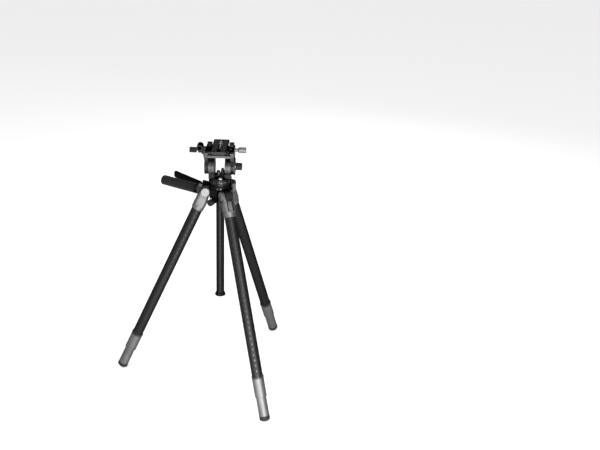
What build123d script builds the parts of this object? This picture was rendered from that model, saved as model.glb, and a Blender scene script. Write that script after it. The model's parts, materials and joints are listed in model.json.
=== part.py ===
from build123d import *
import os
from math import asin, cos, radians, sin, sqrt

# A carbon-fibre video tripod with its legs collapsed, a fluid head on a sliding centre column,
# and a squeeze handle that releases the leg clamps. Millimetres, +Z up, the feet on z = 0.
# Most heights below are measured from the plane of the three leg hinges (HINGE_Z above the floor),
# and most x and y from the axis of the centre column (AXIS_X from the origin).

os.makedirs("parts", exist_ok=True)

# ---------------------------------------------------------------- driving dimensions
# Legs: s is the distance from the hinge down the leg's own axis.
LEGS = {"left": 180.0, "front": 300.0, "back": 60.0}   # azimuth of each leg
SPREAD = 24.0             # angle of a leg from the vertical at its first stop
HINGE_RADIUS = 46.5       # hinge bolt from the column's axis
CASTING_END = 70.0        # where the leg casting ends on the carbon tube
SEAL_TOP = 592.5          # the seal ring closes the lower end of the carbon tube
COLLAR_TOP = 601.0
COLLAR_END = 663.5
SLEEVE_END = 727.0
FOOT_TIP = 746.0
UPPER_R, MID_R, LOW_R = 18.0, 15.7, 13.4   # outer radii of the three tubes
WALL = 2.0
COLLAR_R = 19.5
SLEEVE_R = 17.0
FOOT_R = 17.8
FOOT_DOME_R = 24.0        # the foot's tread is part of a ball, so it stands at any angle
LEG_TRAVEL = 400.0        # how far each section slides out
MID_TOP = 112.0           # upper end of the middle tube while it is pushed in
LOW_TOP = 150.0           # upper end of the lowest tube while it is pushed in
MID_END = 638.0           # lower ends of the middle and lowest tubes, inside the collar and sleeve
LOW_END = 716.0
PLUG_TOP = 700.0          # upper end of the foot's plug, inside the lowest tube

# Hinge fork of a leg: t is across the fork, along the hinge bolt.
TONGUE_HALF = 11.0        # half width of the crown's tongue between the fork's ears
TONGUE_R = 20.0
EAR_R = 15.5
EAR_HALF = 19.5           # half width over the fork's ears
FORK_ROUND_R = 22.6       # the fork's corners are turned to this radius about the leg's axis
BOLT_R = 5.0
BOLT_HEAD_R = 14.2
BOLT_HEAD = 2.2
CASTING_R = 20.5

# Crown and centre column
COLUMN_R = 13.4
BUSH_R = 16.0
CROWN_R = 38.0
CROWN_TOP = 26.0
PLATFORM = 3.0            # plate on top of the column, which rests on the crown
COLUMN_BOTTOM = -373.0
KNOB_AZIMUTH = 240.0      # the column's lock knob, between the left and front legs
KNOB_Z = -24.0
BLANK_AZIMUTH = 0.0       # the lug here has no knob
LUG_HALF, LUG_REACH, LUG_BOTTOM = 14.0, 40.0, -16.0    # solid lugs between the legs

# Release handle, beside the left leg
HANDLE_AZIMUTH = 150.0
HANDLE_Z = -20.0
HANDLE_SIDE = -12.0       # the handle's axis passes the column on the back leg's side
FOLD_RADIUS = 80.0        # fold pivot of the handle
FOLD_Z = -18.0
FOLD_R = 11.0             # rounded end of the fold's cheeks
CHEEK_IN, CHEEK_OUT = 9.3, 14.0
BRACKET_TOP = 11.0
BRACKET_BOTTOM = -28.0    # clears the barrel when the handle is folded down
BARREL_START = 92.5
GRIP_R = 16.3
GRIP_CORE_R = 9.0
GRIP_START, GRIP_END = 106.0, 247.0
LEVER_RADIUS, LEVER_SIDE = 88.0, -30.0   # the lever's pivot, out from the column and off the grip's axis
LEVER_ANGLE = 13.0        # between the lever and the grip
LEVER_LENGTH = 164.0
LEVER_HALF_HEIGHT = 12.0
LEVER_HALF_THICK = 2.8

# Fluid head
BASE_R = 37.3
BASE_TOP = 36.0           # top of the fixed base, under the panning housing
HOUSING_TOP = 52.0
TILT_Z = 87.0
DRUM_R = 31.0
DRUM_IN, DRUM_OUT = 16.5, 35.7   # each drum's span along the tilt axis
ARM_IN, ARM_OUT = 36.0, 46.0     # the cradle's arms
PLATFORM_Z = (129.0, 136.3)      # underside and top of the cradle's bridge
WALL_TOP = 147.0
CRADLE_HALF = 45.0        # half length of the cradle's bridge, front to back
PLATE_HALF = (25.0, 62.0)        # half width and half length of the camera plate
PLATE_TOP = 156.0
PLATE_SLAB = 7.0
JAW_AXIS_Z = 143.0        # axis of the clamp's knob
PAN_BAR_Z = 150.0         # axis of the socket for the pan bar
ROSETTE_Z = 139.0
SCREW_R = 3.175           # 1/4 inch camera screw
STUD_R = 4.76             # 3/8 inch head screw
SCREW_Y = 18.0            # camera screw from the middle of the plate
GAP = 0.3                 # between pieces that move past each other
RUN = 0.05                # radial clearance of a shaft in its hole

# ---------------------------------------------------------------- derived places
slope, rise = sin(radians(SPREAD)), cos(radians(SPREAD))
HINGE_Z = (FOOT_TIP - FOOT_DOME_R) * rise + FOOT_DOME_R
RIM_S = FOOT_TIP - FOOT_DOME_R + sqrt(FOOT_DOME_R**2 - FOOT_R**2)
rim_radius = HINGE_RADIUS + RIM_S * slope
left_reach = rim_radius + FOOT_R * rise
right_reach = rim_radius * cos(radians(60)) + FOOT_R * sqrt(1 - (slope * cos(radians(60))) ** 2)
AXIS_X = (left_reach - right_reach) / 2    # puts the origin under the middle of the footprint


def level(z, x=0.0, y=0.0):
    """Horizontal plane: z above the hinges, x and y from the column's axis."""
    return Plane((AXIS_X + x, y, HINGE_Z + z))


def across(x, y=0.0, z=0.0):
    """Upright plane that faces +X: its own axes are the model's y and z."""
    return Plane(origin=(AXIS_X + x, y, HINGE_Z + z), x_dir=(0, 1, 0), z_dir=(1, 0, 0))


def facing(y, x=0.0, z=0.0):
    """Upright plane that faces the operator, along -Y: its own axes are the model's x and z."""
    return Plane(origin=(AXIS_X + x, y, HINGE_Z + z), x_dir=(1, 0, 0), z_dir=(0, -1, 0))


def outward(azimuth, radius, z=0.0, side=0.0):
    """Upright plane that faces away from the column: its own axes are sideways and up."""
    a = radians(azimuth)
    out, across_it = Vector(cos(a), sin(a), 0), Vector(-sin(a), cos(a), 0)
    origin = Vector(AXIS_X, 0, HINGE_Z + z) + out * radius + across_it * side
    return Plane(origin=origin, x_dir=across_it, z_dir=out)


def profile_of(azimuth, side=0.0):
    """Upright plane through the column's axis: its own axes are radius and height."""
    a = radians(azimuth)
    out, across_it = Vector(cos(a), sin(a), 0), Vector(-sin(a), cos(a), 0)
    return Plane(origin=Vector(AXIS_X, 0, HINGE_Z) + across_it * side, x_dir=out, z_dir=-across_it)


def leg_frame(azimuth):
    """Hinge point, direction down the leg, direction square to it that faces out, and the bolt's."""
    a = radians(azimuth)
    out = Vector(cos(a), sin(a), 0)
    hinge = Vector(AXIS_X, 0, HINGE_Z) + out * HINGE_RADIUS
    down = out * slope - Vector(0, 0, 1) * rise
    face = out * rise + Vector(0, 0, 1) * slope
    return hinge, down, face, Vector(-sin(a), cos(a), 0)


def on_leg(azimuth, s):
    """Plane square to a leg at s: its own x faces out, and it looks down the leg."""
    hinge, down, face, _ = leg_frame(azimuth)
    return Plane(origin=hinge + down * s, x_dir=face, z_dir=down)


def leg_side(azimuth, t=0.0):
    """Plane through a leg's axis: its own axes are s down the leg and the direction that faces out."""
    hinge, down, _, bolt = leg_frame(azimuth)
    return Plane(origin=hinge + bolt * t, x_dir=down, z_dir=-bolt)


# ---------------------------------------------------------------- shapes used many times
def rod(plane, radius, length, mode=Mode.ADD, both=False):
    with BuildSketch(plane) as section:
        Circle(radius)
    extrude(section.sketch, amount=length, both=both, mode=mode)


def tube(plane, outer, inner, length, mode=Mode.ADD):
    with BuildSketch(plane) as section:
        Circle(outer)
        Circle(inner, mode=Mode.SUBTRACT)
    extrude(section.sketch, amount=length, mode=mode)


def plank(plane, outline, half_width, mode=Mode.ADD):
    """A flat piece of that outline, as thick on each side of its plane as half_width."""
    with BuildSketch(plane) as section:
        with BuildLine():
            Polyline(*outline, close=True)
        make_face()
    extrude(section.sketch, amount=half_width, both=True, mode=mode)


def box(plane, low, high, depth, mode=Mode.ADD):
    """A block between two corners of a rectangle on the plane, standing depth above it."""
    with BuildSketch(plane) as section:
        with Locations(((low[0] + high[0]) / 2, (low[1] + high[1]) / 2)):
            Rectangle(high[0] - low[0], high[1] - low[1])
    extrude(section.sketch, amount=depth, mode=mode)


def turned(plane, outline, mode=Mode.ADD):
    """A turned piece about the plane's own z, from (radius, height) points."""
    half = Plane(origin=plane.origin, x_dir=plane.x_dir, z_dir=-plane.y_dir)
    with BuildSketch(half) as section:
        with BuildLine():
            Polyline(*outline, close=True)
        make_face()
    revolve(section.sketch, axis=Axis(plane.origin, plane.z_dir), mode=mode)


def knob_flutes(plane, radius, length, count, depth):
    """Grip grooves along a knob's rim."""
    with BuildSketch(plane) as grooves:
        with PolarLocations(radius + depth / 2, count):
            Circle(depth)
    extrude(grooves.sketch, amount=length, mode=Mode.SUBTRACT)


def save(part, name):
    part.label = name
    export_step(part, f"parts/{name}.step")


# ---------------------------------------------------------------- crown
bush_inner = COLUMN_R + RUN
with BuildPart() as spider:
    turned(level(0), [(BUSH_R, -34), (22, -34), (24, -31), (24, 14), (CROWN_R - 1, 14),
                      (CROWN_R, 15.5), (CROWN_R, CROWN_TOP - 1.5), (CROWN_R - 1.5, CROWN_TOP),
                      (BUSH_R, CROWN_TOP)])
    for azimuth in LEGS.values():
        with BuildSketch(profile_of(azimuth)) as tongue:
            with Locations((HINGE_RADIUS, 0)):
                Circle(TONGUE_R)
            with Locations(((20 + HINGE_RADIUS) / 2, 6)):
                Rectangle(HINGE_RADIUS - 20, 28)
        extrude(tongue.sketch, amount=TONGUE_HALF, both=True)
        rod(leg_side(azimuth), BOLT_R, TONGUE_HALF, Mode.SUBTRACT, both=True)
    rod(outward(KNOB_AZIMUTH, 20, KNOB_Z), 9, 17)
    for azimuth in (KNOB_AZIMUTH, BLANK_AZIMUTH):
        box(outward(azimuth, 20), (-LUG_HALF, LUG_BOTTOM), (LUG_HALF, 15), LUG_REACH - 20)
    rod(level(-34), BUSH_R, 60, Mode.SUBTRACT)
    rod(outward(KNOB_AZIMUTH, 10, KNOB_Z), 4 + RUN, 30, Mode.SUBTRACT)
save(spider.part, "spider")

with BuildPart() as column_bush:
    tube(level(-33), BUSH_R, bush_inner, 33 + CROWN_TOP - 0.5)
    rod(outward(KNOB_AZIMUTH, 10, KNOB_Z), 4 + RUN, 30, Mode.SUBTRACT)
save(column_bush.part, "column_bush")

with BuildPart() as hinge_bolts:
    for azimuth in LEGS.values():
        rod(leg_side(azimuth), BOLT_R, EAR_HALF + GAP, both=True)
        hinge, down, face, bolt = leg_frame(azimuth)
        for way in (1, -1):
            head = Plane(origin=hinge + bolt * way * (EAR_HALF + GAP), x_dir=down, z_dir=bolt * way)
            turned(head, [(0, 0), (BOLT_HEAD_R, 0), (BOLT_HEAD_R, BOLT_HEAD - 0.9),
                          (BOLT_HEAD_R - 0.9, BOLT_HEAD), (0, BOLT_HEAD)])
            with BuildSketch(head.offset(BOLT_HEAD)) as socket:
                RegularPolygon(3.4, 6)
            extrude(socket.sketch, amount=-1.6, mode=Mode.SUBTRACT)
save(hinge_bolts.part, "hinge_bolts")

knob_start = 38.0
with BuildPart() as column_knob:
    rod(outward(KNOB_AZIMUTH, COLUMN_R + 0.2, KNOB_Z), 4, knob_start - COLUMN_R)
    turned(outward(KNOB_AZIMUTH, knob_start, KNOB_Z),
           [(0, 0), (6.5, 0), (7, 4), (10.5, 7), (11, 9), (11, 20), (9.5, 22), (0, 22)])
    knob_flutes(outward(KNOB_AZIMUTH, knob_start + 8, KNOB_Z), 11, 15, 8, 1.6)
save(column_knob.part, "column_knob")

# ---------------------------------------------------------------- handle
handle_plane = profile_of(HANDLE_AZIMUTH, HANDLE_SIDE)


def beside(side):
    """Upright plane along the handle, that far to the side of the grip's axis."""
    return profile_of(HANDLE_AZIMUTH, HANDLE_SIDE + side)


def along_handle(radius, side=0.0, z=HANDLE_Z):
    """Plane square to the handle's axis."""
    return outward(HANDLE_AZIMUTH, radius, z, HANDLE_SIDE + side)


def fold_pin_plane(side=0.0):
    plane = beside(side)
    return Plane(origin=along_handle(FOLD_RADIUS, side, FOLD_Z).origin, x_dir=plane.x_dir, z_dir=plane.z_dir)


def lever_pin_plane(z):
    return Plane(along_handle(LEVER_RADIUS, LEVER_SIDE, z).origin)


cheek_middle, cheek_half = (CHEEK_IN + CHEEK_OUT) / 2, (CHEEK_OUT - CHEEK_IN) / 2
with BuildPart() as handle_bracket:
    for way in (1, -1):
        plank(beside(way * cheek_middle),
              [(54, BRACKET_BOTTOM), (FOLD_RADIUS, BRACKET_BOTTOM), (FOLD_RADIUS, FOLD_Z),
               (FOLD_RADIUS + FOLD_R, FOLD_Z), (FOLD_RADIUS + 6, BRACKET_TOP), (54, BRACKET_TOP)], cheek_half)
        rod(fold_pin_plane(way * cheek_middle), FOLD_R, cheek_half, both=True)
    plank(beside(-4), [(30, -10), (46, BRACKET_BOTTOM), (64, BRACKET_BOTTOM), (64, BRACKET_TOP),
                       (30, BRACKET_TOP)], 10)
    plank(beside(0), [(54, BRACKET_BOTTOM), (64, BRACKET_BOTTOM), (64, BRACKET_TOP), (54, BRACKET_TOP)],
          CHEEK_OUT)
    rod(fold_pin_plane(), 4 + RUN, 20, Mode.SUBTRACT, both=True)
    rod(level(-32), 24, 46, Mode.SUBTRACT)
save(handle_bracket.part, "handle_bracket")

arm_bottom, arm_top = FOLD_Z - FOLD_R, FOLD_Z + FOLD_R
with BuildPart() as handle_arm:
    plank(beside(0), [(FOLD_RADIUS, arm_bottom), (BARREL_START + 2, arm_bottom), (BARREL_START + 2, arm_top),
                      (FOLD_RADIUS, arm_top)], CHEEK_IN - GAP)
    rod(fold_pin_plane(), FOLD_R, CHEEK_IN - GAP, both=True)
    turned(along_handle(BARREL_START), [(0, 0), (15, 0), (GRIP_R, 1.5), (GRIP_R, GRIP_START - BARREL_START),
           (GRIP_CORE_R, GRIP_START - BARREL_START), (GRIP_CORE_R, GRIP_END - BARREL_START - 8),
           (0, GRIP_END - BARREL_START - 8)])
    for low in (-33, -14):
        lug_plane = Plane(along_handle(0, 0, low).origin, x_dir=handle_plane.x_dir, z_dir=(0, 0, 1))
        with BuildSketch(lug_plane) as lug:
            with Locations((LEVER_RADIUS, LEVER_SIDE)):
                Circle(7)
            with BuildLine():
                Polyline((LEVER_RADIUS - 6, LEVER_SIDE), (94, -8), (105, -8), (LEVER_RADIUS + 7, LEVER_SIDE),
                         close=True)
            make_face()
        extrude(lug.sketch, amount=7)
    rod(fold_pin_plane(), 4, 20, Mode.SUBTRACT, both=True)
    rod(lever_pin_plane(-40), 2.5, 40, Mode.SUBTRACT)
    rod(Plane(origin=along_handle(99).origin, x_dir=(0, 0, 1), z_dir=handle_plane.z_dir).offset(-4),
        3 + RUN, 30, Mode.SUBTRACT)
save(handle_arm.part, "handle_arm")

grip_length = GRIP_END - GRIP_START
with BuildPart() as handle_grip:
    turned(along_handle(GRIP_START), [(GRIP_CORE_R, 0), (GRIP_R, 0), (GRIP_R, grip_length - 4),
           (GRIP_R - 1.4, grip_length - 1.4), (GRIP_R - 4.5, grip_length), (0, grip_length),
           (0, grip_length - 8), (GRIP_CORE_R, grip_length - 8)])
save(handle_grip.part, "handle_grip")

with BuildPart() as handle_pins:
    rod(fold_pin_plane(), 4, CHEEK_OUT + 0.5, both=True)
    rod(lever_pin_plane(-33.5), 2.5, 27)
save(handle_pins.part, "handle_pins")

lever_root = along_handle(LEVER_RADIUS, LEVER_SIDE).origin
lever_way = Vector(cos(radians(HANDLE_AZIMUTH - LEVER_ANGLE)), sin(radians(HANDLE_AZIMUTH - LEVER_ANGLE)), 0)
lever_plane = Plane(origin=lever_root, x_dir=lever_way, z_dir=Vector(0, 0, 1))
blade_plane = Plane(origin=lever_root, x_dir=lever_way, z_dir=-lever_plane.y_dir)
with BuildPart() as handle_lever:
    boss_half = 5.7
    rod(lever_plane.offset(-boss_half), 6.5, 2 * boss_half)
    plank(blade_plane, [(0, -boss_half), (16, -boss_half), (26, -LEVER_HALF_HEIGHT),
          (LEVER_LENGTH - 5, -LEVER_HALF_HEIGHT), (LEVER_LENGTH, -LEVER_HALF_HEIGHT + 5),
          (LEVER_LENGTH, LEVER_HALF_HEIGHT - 5), (LEVER_LENGTH - 5, LEVER_HALF_HEIGHT),
          (26, LEVER_HALF_HEIGHT), (16, boss_half), (0, boss_half)], LEVER_HALF_THICK)
    rod(lever_plane.offset(-20), 2.5 + RUN, 40, Mode.SUBTRACT)
save(handle_lever.part, "handle_lever")

plunger_radius = 99.0
plunger_plane = Plane(origin=along_handle(plunger_radius).origin, x_dir=(0, 0, 1), z_dir=handle_plane.z_dir)
with BuildPart() as release_plunger:
    rod(plunger_plane, 3, 28.5)
save(release_plunger.part, "release_plunger")

# ---------------------------------------------------------------- legs
sleeve_top = COLLAR_END + GAP
sleeve_length = SLEEVE_END - sleeve_top
for side, azimuth in LEGS.items():
    with BuildPart() as casting:
        with BuildSketch(leg_side(azimuth)) as fork:
            Circle(EAR_R)
            with BuildLine():
                Polyline((0, -EAR_R), (38, -CASTING_R), (54, -CASTING_R), (54, CASTING_R),
                         (38, CASTING_R), (0, EAR_R), close=True)
            make_face()
        extrude(fork.sketch, amount=EAR_HALF, both=True)
        rod(on_leg(azimuth, -20), FORK_ROUND_R, 80, Mode.INTERSECT)
        turned(on_leg(azimuth, 52), [(0, 0), (CASTING_R, 0), (CASTING_R, 13), (CASTING_R - 0.8, 13.4),
               (CASTING_R - 0.8, 14.6), (CASTING_R, 15), (CASTING_R, 17), (CASTING_R - 1, 18), (0, 18)])
        slot_half = TONGUE_HALF + GAP
        rod(leg_side(azimuth), TONGUE_R + 0.6, slot_half, Mode.SUBTRACT, both=True)
        plank(leg_side(azimuth), [(10, -2), (51, -2), (51, 30), (10, 30)], slot_half, Mode.SUBTRACT)
        with BuildSketch(leg_side(azimuth)) as rib:
            with BuildLine():
                Polyline((16, -4), (53, -4), (53, 18), (22, 18), (16, 14), close=True)
            make_face()
            Circle(TONGUE_R + 0.6, mode=Mode.SUBTRACT)
        extrude(rib.sketch, amount=7, both=True)
        for way in (1, -1):
            with BuildSketch(leg_side(azimuth, way * EAR_HALF)) as panel:
                with Locations((34, 0)):
                    SlotCenterToCenter(18, 13)
            extrude(panel.sketch, amount=-way * 1.0)
        rod(on_leg(azimuth, 56), UPPER_R, 20, Mode.SUBTRACT)
        rod(leg_side(azimuth), BOLT_R + RUN, 30, Mode.SUBTRACT, both=True)
    save(casting.part, f"{side}_leg_casting")

    with BuildPart() as stop_tab:
        with BuildSketch(leg_side(azimuth)) as pawl:
            with BuildLine():
                Polyline((-9, 14), (-9, 28), (-6, 31), (6, 31), (15, 24), (15, 14), close=True)
            make_face()
            Circle(TONGUE_R + 0.5, mode=Mode.SUBTRACT)
        extrude(pawl.sketch, amount=TONGUE_HALF - 0.6, both=True)
        for way in (1, -1):
            with BuildSketch(leg_side(azimuth, way * 9)) as rail:
                with BuildLine():
                    Polyline((10, 6), (31, 6), (31, 17), (17, 17), (15, 22), (10, 22), close=True)
                make_face()
                Circle(TONGUE_R + 0.5, mode=Mode.SUBTRACT)
            extrude(rail.sketch, amount=1.4, both=True)
    save(stop_tab.part, f"{side}_stop_tab")

    with BuildPart() as upper_tube:
        tube(on_leg(azimuth, 56), UPPER_R, UPPER_R - WALL, COLLAR_TOP - 1 - 56)
    save(upper_tube.part, f"{side}_upper_tube")

    with BuildPart() as seal:
        turned(on_leg(azimuth, SEAL_TOP), [(UPPER_R, 0), (20, 1), (20.3, 2), (20.3, 7), (20, 8), (UPPER_R, 8)])
    save(seal.part, f"{side}_leg_seal")

    with BuildPart() as mid_tube:
        tube(on_leg(azimuth, MID_TOP), MID_R, MID_R - WALL, MID_END - MID_TOP)
    save(mid_tube.part, f"{side}_mid_tube")

    with BuildPart() as mid_collar:
        turned(on_leg(azimuth, COLLAR_TOP), [(MID_R, 0), (COLLAR_R - 0.6, 0), (COLLAR_R, 0.8),
               (COLLAR_R, COLLAR_END - COLLAR_TOP - 1.2), (COLLAR_R - 1.2, COLLAR_END - COLLAR_TOP),
               (MID_R - WALL, COLLAR_END - COLLAR_TOP), (MID_R - WALL, MID_END - COLLAR_TOP),
               (MID_R, MID_END - COLLAR_TOP)])
    save(mid_collar.part, f"{side}_mid_collar")

    with BuildPart() as low_tube:
        tube(on_leg(azimuth, LOW_TOP), LOW_R, LOW_R - WALL, LOW_END - LOW_TOP)
    save(low_tube.part, f"{side}_low_tube")

    with BuildPart() as foot_sleeve:
        turned(on_leg(azimuth, sleeve_top), [(LOW_R, 0), (SLEEVE_R, 0), (SLEEVE_R, sleeve_length),
               (LOW_R - WALL, sleeve_length), (LOW_R - WALL, LOW_END - sleeve_top),
               (LOW_R, LOW_END - sleeve_top)])
    save(foot_sleeve.part, f"{side}_foot_sleeve")

    with BuildPart() as foot:
        with BuildSketch(leg_side(azimuth)) as tread:
            with BuildLine():
                Polyline((PLUG_TOP, 0), (PLUG_TOP, 8), (SLEEVE_END, 8), (SLEEVE_END, SLEEVE_R),
                         (RIM_S - 2, FOOT_R), (RIM_S, FOOT_R))
                half_way = asin(FOOT_R / FOOT_DOME_R) / 2
                middle = FOOT_TIP - FOOT_DOME_R
                ThreePointArc((RIM_S, FOOT_R), (middle + FOOT_DOME_R * cos(half_way),
                              FOOT_DOME_R * sin(half_way)), (FOOT_TIP, 0))
                Line((FOOT_TIP, 0), (PLUG_TOP, 0))
            make_face()
        hinge, down, face, bolt = leg_frame(azimuth)
        revolve(tread.sketch, axis=Axis(hinge, down))
    save(foot.part, f"{side}_foot")

# ---------------------------------------------------------------- centre column
platform_top = CROWN_TOP + PLATFORM
with BuildPart() as column_tube:
    tube(level(COLUMN_BOTTOM), COLUMN_R, COLUMN_R - WALL, CROWN_TOP - COLUMN_BOTTOM)
save(column_tube.part, "column_tube")

with BuildPart() as column_platform:
    turned(level(0), [(STUD_R, 10), (COLUMN_R - WALL, 10), (COLUMN_R - WALL, CROWN_TOP), (34, CROWN_TOP),
           (34, platform_top - 0.6), (33.4, platform_top), (STUD_R, platform_top)])
save(column_platform.part, "column_platform")

with BuildPart() as column_cap:
    turned(level(COLUMN_BOTTOM), [(0, 14), (COLUMN_R - WALL, 14), (COLUMN_R - WALL, 0), (16, 0), (16, -1.4),
           (13, -1.6), (13, -4.6), (17.2, -4.8), (18, -6), (17.6, -8), (15, -9), (0, -9)])
save(column_cap.part, "column_cap")

hook_z = COLUMN_BOTTOM - 3.1
hook_wire, hook_bend, hook_start, ring_half = 1.2, 6.5, -18.5, 1.35
with BuildPart() as column_hook:
    tube(level(hook_z - ring_half), 16.6, 13 + RUN, 2 * ring_half)
    rod(across(hook_start, 0, hook_z), hook_wire, 3)
    with BuildSketch(across(hook_start, 0, hook_z)) as wire:
        Circle(hook_wire)
    bend_centre = level(hook_z + hook_bend, hook_start).origin
    revolve(wire.sketch, axis=Axis(bend_centre, (0, 1, 0)), revolution_arc=105)
save(column_hook.part, "column_hook")

with BuildPart() as head_screw:
    rod(level(4), STUD_R, 40)
    with BuildSketch(level(4)) as hexagon:
        RegularPolygon(8, 6)
    extrude(hexagon.sketch, amount=6)
save(head_screw.part, "head_screw")

# ---------------------------------------------------------------- fluid head
with BuildPart() as head_base:
    turned(level(0), [(0, platform_top), (BASE_R - 1, platform_top), (BASE_R, platform_top + 1),
                      (BASE_R, BASE_TOP), (14, BASE_TOP), (14, BASE_TOP + 10), (0, BASE_TOP + 10)])
    rod(level(platform_top), STUD_R, 15, Mode.SUBTRACT)
save(head_base.part, "head_base")


def facing_out(way, x, y=0.0, z=TILT_Z):
    """Upright plane square to the tilt axis that faces away from the middle on that side."""
    return Plane(origin=across(x, y, z).origin, x_dir=(0, way, 0), z_dir=(way, 0, 0))


housing_bottom = BASE_TOP + GAP
bubble_y = -27.0
with BuildPart() as pan_housing:
    turned(level(0), [(0, housing_bottom), (BASE_R, housing_bottom), (BASE_R, HOUSING_TOP - 3),
                      (BASE_R - 2.5, HOUSING_TOP), (0, HOUSING_TOP)])
    for way in (1, -1):
        low, high = sorted((way * DRUM_IN, way * DRUM_OUT))
        box(level(HOUSING_TOP - 1), (low, -23), (high, 23), 20)
    box(level(HOUSING_TOP - 1), (-DRUM_IN, -11), (DRUM_IN, 11), 8)
    rod(across(-DRUM_OUT - 1, 0, TILT_Z), DRUM_R, 2 * DRUM_OUT + 2, Mode.SUBTRACT)
    rod(level(housing_bottom), 14 + RUN, BASE_TOP + 10 - housing_bottom + GAP, Mode.SUBTRACT)
    rod(level(HOUSING_TOP - 3, 3, bubble_y), 7.5, 5, Mode.SUBTRACT)
    rod(level(HOUSING_TOP, 8), 2.5 + RUN, 12, Mode.SUBTRACT)
save(pan_housing.part, "pan_housing")

with BuildPart() as bubble_level:
    turned(level(HOUSING_TOP - 3, 3, bubble_y),
           [(0, 0), (7.5, 0), (7.5, 3.6), (6.8, 4), (5.6, 4), (4, 4.7), (0, 5)])
save(bubble_level.part, "bubble_level")

dial_bottom = HOUSING_TOP + 7.3
with BuildPart() as drag_knob:
    rod(level(HOUSING_TOP + 0.3, 8), 2.5, 8)
    turned(level(dial_bottom, 8), [(0, 0), (6, 0), (6, 12), (4.6, 14), (4.6, 19), (3.6, 20), (0, 20)])
    knob_flutes(level(dial_bottom + 1, 8), 6, 10, 6, 0.9)
save(drag_knob.part, "drag_knob")

drum_length = DRUM_OUT - DRUM_IN
axle_r, axle_start = 8.0, 5.5
with BuildPart() as tilt_drums:
    for way in (1, -1):
        turned(facing_out(way, way * DRUM_IN),
               [(0, 0), (DRUM_R - 1.5, 0), (DRUM_R, 1.5), (DRUM_R, 7), (DRUM_R - 0.8, 7.6),
                (DRUM_R - 0.8, 9), (DRUM_R, 9.6), (DRUM_R, drum_length), (axle_r + RUN, drum_length),
                (axle_r + RUN, axle_start - 0.3), (0, axle_start - 0.3)])
save(tilt_drums.part, "tilt_drums")

with BuildPart() as tilt_axles:
    for way in (1, -1):
        rod(facing_out(way, way * (DRUM_IN + axle_start)), axle_r, ARM_OUT - DRUM_IN - axle_start)
save(tilt_axles.part, "tilt_axles")

arm_middle, arm_half = (ARM_IN + ARM_OUT) / 2, (ARM_OUT - ARM_IN) / 2
tower_in, tower_y, tower_r = 28.0, 28.0, 11.5
with BuildPart() as cradle:
    box(level(PLATFORM_Z[0]), (-ARM_IN, -CRADLE_HALF), (ARM_IN, CRADLE_HALF), PLATFORM_Z[1] - PLATFORM_Z[0])
    for way in (1, -1):
        with BuildSketch(across(way * arm_middle)) as arm:
            with Locations((0, TILT_Z)):
                Circle(27)
            with BuildLine():
                Polyline((-26, TILT_Z + 8), (-40, PLATFORM_Z[0]), (-40, WALL_TOP - 4), (-36, WALL_TOP),
                         (36, WALL_TOP), (40, WALL_TOP - 4), (40, PLATFORM_Z[0]), (26, TILT_Z + 8), close=True)
            make_face()
        extrude(arm.sketch, amount=arm_half, both=True)
        with BuildSketch(across(way * (tower_in + ARM_OUT - 3) / 2)) as tower:
            with Locations((tower_y, WALL_TOP)):
                Circle(tower_r)
            with Locations((tower_y, WALL_TOP - tower_r / 2)):
                Rectangle(2 * tower_r + 2, tower_r, mode=Mode.SUBTRACT)
        extrude(tower.sketch, amount=(ARM_OUT - 3 - tower_in) / 2, both=True)
        with BuildSketch(level(PLATFORM_Z[0])) as window:
            with Locations((0, way * 24)):
                RectangleRounded(40, 22, 4)
        extrude(window.sketch, amount=PLATFORM_Z[1] - PLATFORM_Z[0], mode=Mode.SUBTRACT)
    rod(across(-60, 0, TILT_Z), axle_r, 120, Mode.SUBTRACT)
    rod(across(ARM_IN - 1, 0, JAW_AXIS_Z), 3 + RUN, 20, Mode.SUBTRACT)
save(cradle.part, "cradle")

rosette_face = -53.5
with BuildPart() as side_cover_left:
    turned(facing_out(-1, -ARM_OUT), [(0, 0), (29, 0), (29, 1.5), (26, 3.5), (0, 3.5)])
    plank(facing(0), [(-ARM_OUT, 104), (-49.5, 104), (rosette_face, 124), (rosette_face, 146),
                      (-ARM_OUT, 146)], 11)
    rod(facing_out(-1, -ARM_OUT, 0, ROSETTE_Z), 13, -rosette_face - ARM_OUT)
    rod(across(rosette_face, 0, ROSETTE_Z), 3 + RUN, 8, Mode.SUBTRACT)
save(side_cover_left.part, "side_cover_left")

with BuildPart() as side_cover_right:
    turned(facing_out(1, ARM_OUT), [(0, 0), (29, 0), (29, 2), (27.5, 3), (25, 3), (25, 2), (12, 2),
                                    (10, 2.4), (0, 2.4)])
    rod(facing_out(1, ARM_OUT), 3 + RUN, 4, Mode.SUBTRACT)
save(side_cover_right.part, "side_cover_right")

with BuildPart() as tilt_knob:
    rod(facing_out(1, ARM_OUT + 0.2), 3, 4)
    turned(facing_out(1, ARM_OUT + 2.7), [(0, 0), (7, 0), (7, 1.5), (11.6, 2), (12, 3), (12, 20),
                                          (10.5, 22.3), (0, 22.3)])
    knob_flutes(facing_out(1, ARM_OUT + 7), 12, 20, 12, 1.3)
save(tilt_knob.part, "tilt_knob")

clamp_face = rosette_face - GAP
panbar_knob_face = -75.2
socket_x, socket_r, socket_bore = -64.6, 10.3, 6.5
with BuildPart() as panbar_clamp:
    rod(facing_out(-1, clamp_face, 0, ROSETTE_Z), 13, 5)
    rod(facing_out(-1, clamp_face, 0, ROSETTE_Z), 9, 16)
    rod(facing(17, socket_x, PAN_BAR_Z), socket_r, 34)
    rod(facing(13, socket_x, PAN_BAR_Z), socket_bore, 31, Mode.SUBTRACT)
    rod(facing_out(-1, clamp_face + 1, 0, ROSETTE_Z), 3 + RUN, 20, Mode.SUBTRACT)
save(panbar_clamp.part, "panbar_clamp")

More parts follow.
